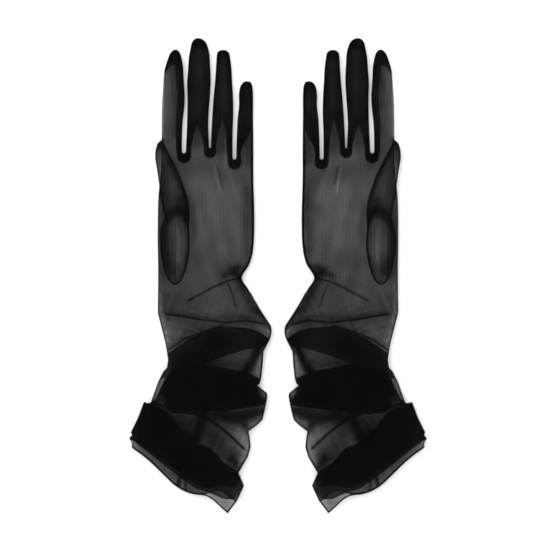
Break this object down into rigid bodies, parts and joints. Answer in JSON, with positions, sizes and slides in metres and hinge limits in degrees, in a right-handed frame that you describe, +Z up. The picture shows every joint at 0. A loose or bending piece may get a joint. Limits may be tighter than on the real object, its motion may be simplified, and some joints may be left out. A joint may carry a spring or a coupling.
{
  "type": "pair of opera gloves",
  "caption": "Pair of sheer black tulle opera gloves, laid flat with palms up, gathered sleeves and diagonal hems.",
  "frame": {"origin": "on the table under the middle of the pair, halfway between fingertips and hems", "axes": "+X from the left glove to the right glove, +Y from hems to fingertips, +Z up out of the palms"},
  "size_m": [0.2408, 0.3881, 0.0128],
  "materials": {
    "tulle": "sheer fine net",
    "doubled_tulle": "fine net folded double",
    "seam": "narrow sewn seam"
  },
  "bodies": {
    "left_sleeve": {"left_sleeve_palm_side": "tulle", "left_sleeve_back_side": "tulle", "left_sleeve_side_seam": "seam", "left_hem_band": "doubled_tulle"},
    "left_hand": {"left_hand_palm_side": "tulle", "left_hand_back_side": "tulle", "left_hand_side_seam": "seam", "left_thumb_seam": "seam", "left_thumb_base": "tulle", "left_fork_1_gusset": "doubled_tulle", "left_fork_2_gusset": "doubled_tulle", "left_fork_3_gusset": "doubled_tulle"},
    "left_thumb": {"left_thumb_palm_side": "tulle", "left_thumb_back_side": "tulle"},
    "left_index": {"left_index_palm_side": "tulle", "left_index_back_side": "tulle", "left_index_little_side_fourchette": "doubled_tulle"},
    "left_middle": {"left_middle_palm_side": "tulle", "left_middle_back_side": "tulle", "left_middle_thumb_side_fourchette": "doubled_tulle", "left_middle_little_side_fourchette": "doubled_tulle"},
    "left_ring": {"left_ring_palm_side": "tulle", "left_ring_back_side": "tulle", "left_ring_thumb_side_fourchette": "doubled_tulle", "left_ring_little_side_fourchette": "doubled_tulle"},
    "left_little": {"left_little_palm_side": "tulle", "left_little_back_side": "tulle", "left_little_thumb_side_fourchette": "doubled_tulle", "left_little_side_seam": "seam"},
    "right_sleeve": {"right_sleeve_palm_side": "tulle", "right_sleeve_back_side": "tulle", "right_sleeve_side_seam": "seam", "right_hem_band": "doubled_tulle"},
    "right_hand": {"right_hand_palm_side": "tulle", "right_hand_back_side": "tulle", "right_hand_side_seam": "seam", "right_thumb_seam": "seam", "right_thumb_base": "tulle", "right_fork_1_gusset": "doubled_tulle", "right_fork_2_gusset": "doubled_tulle", "right_fork_3_gusset": "doubled_tulle"},
    "right_thumb": {"right_thumb_palm_side": "tulle", "right_thumb_back_side": "tulle"},
    "right_index": {"right_index_palm_side": "tulle", "right_index_back_side": "tulle", "right_index_little_side_fourchette": "doubled_tulle"},
    "right_middle": {"right_middle_palm_side": "tulle", "right_middle_back_side": "tulle", "right_middle_thumb_side_fourchette": "doubled_tulle", "right_middle_little_side_fourchette": "doubled_tulle"},
    "right_ring": {"right_ring_palm_side": "tulle", "right_ring_back_side": "tulle", "right_ring_thumb_side_fourchette": "doubled_tulle", "right_ring_little_side_fourchette": "doubled_tulle"},
    "right_little": {"right_little_palm_side": "tulle", "right_little_back_side": "tulle", "right_little_thumb_side_fourchette": "doubled_tulle", "right_little_side_seam": "seam"}
  },
  "joints": [
    {"name": "left_wrist_fold", "type": "hinge", "parent": "left_sleeve", "child": "left_hand", "pos_m": [-0.0578, -0.014, 0.008], "axis": [1, 0, 0], "range_deg": [0, 80]},
    {"name": "left_thumb_lift", "type": "hinge", "parent": "left_hand", "child": "left_thumb", "pos_m": [-0.083, 0.05, 0.0128], "axis": [0.9816, 0.1908, 0], "range_deg": [0, 90]},
    {"name": "left_index_curl", "type": "hinge", "parent": "left_hand", "child": "left_index", "pos_m": [-0.0868, 0.113, 0.0048], "axis": [1, 0, 0], "range_deg": [0, 90]},
    {"name": "left_middle_curl", "type": "hinge", "parent": "left_hand", "child": "left_middle", "pos_m": [-0.0658, 0.113, 0.0048], "axis": [1, 0, 0], "range_deg": [0, 90]},
    {"name": "left_ring_curl", "type": "hinge", "parent": "left_hand", "child": "left_ring", "pos_m": [-0.0458, 0.113, 0.0048], "axis": [1, 0, 0], "range_deg": [0, 90]},
    {"name": "left_little_curl", "type": "hinge", "parent": "left_hand", "child": "left_little", "pos_m": [-0.027, 0.113, 0.0048], "axis": [1, 0, 0], "range_deg": [0, 90]},
    {"name": "right_wrist_fold", "type": "hinge", "parent": "right_sleeve", "child": "right_hand", "pos_m": [0.0578, -0.014, 0.008], "axis": [1, 0, 0], "range_deg": [0, 80]},
    {"name": "right_thumb_lift", "type": "hinge", "parent": "right_hand", "child": "right_thumb", "pos_m": [0.083, 0.05, 0.0128], "axis": [0.9816, -0.1908, 0], "range_deg": [0, 90]},
    {"name": "right_index_curl", "type": "hinge", "parent": "right_hand", "child": "right_index", "pos_m": [0.0868, 0.113, 0.0048], "axis": [1, 0, 0], "range_deg": [0, 90]},
    {"name": "right_middle_curl", "type": "hinge", "parent": "right_hand", "child": "right_middle", "pos_m": [0.0658, 0.113, 0.0048], "axis": [1, 0, 0], "range_deg": [0, 90]},
    {"name": "right_ring_curl", "type": "hinge", "parent": "right_hand", "child": "right_ring", "pos_m": [0.0458, 0.113, 0.0048], "axis": [1, 0, 0], "range_deg": [0, 90]},
    {"name": "right_little_curl", "type": "hinge", "parent": "right_hand", "child": "right_little", "pos_m": [0.027, 0.113, 0.0048], "axis": [1, 0, 0], "range_deg": [0, 90]},
    {"name": "pair_slide", "type": "slide", "parent": "left_sleeve", "child": "right_sleeve", "axis": [1, 0, 0], "range_m": [0, 0.15]}
  ]
}
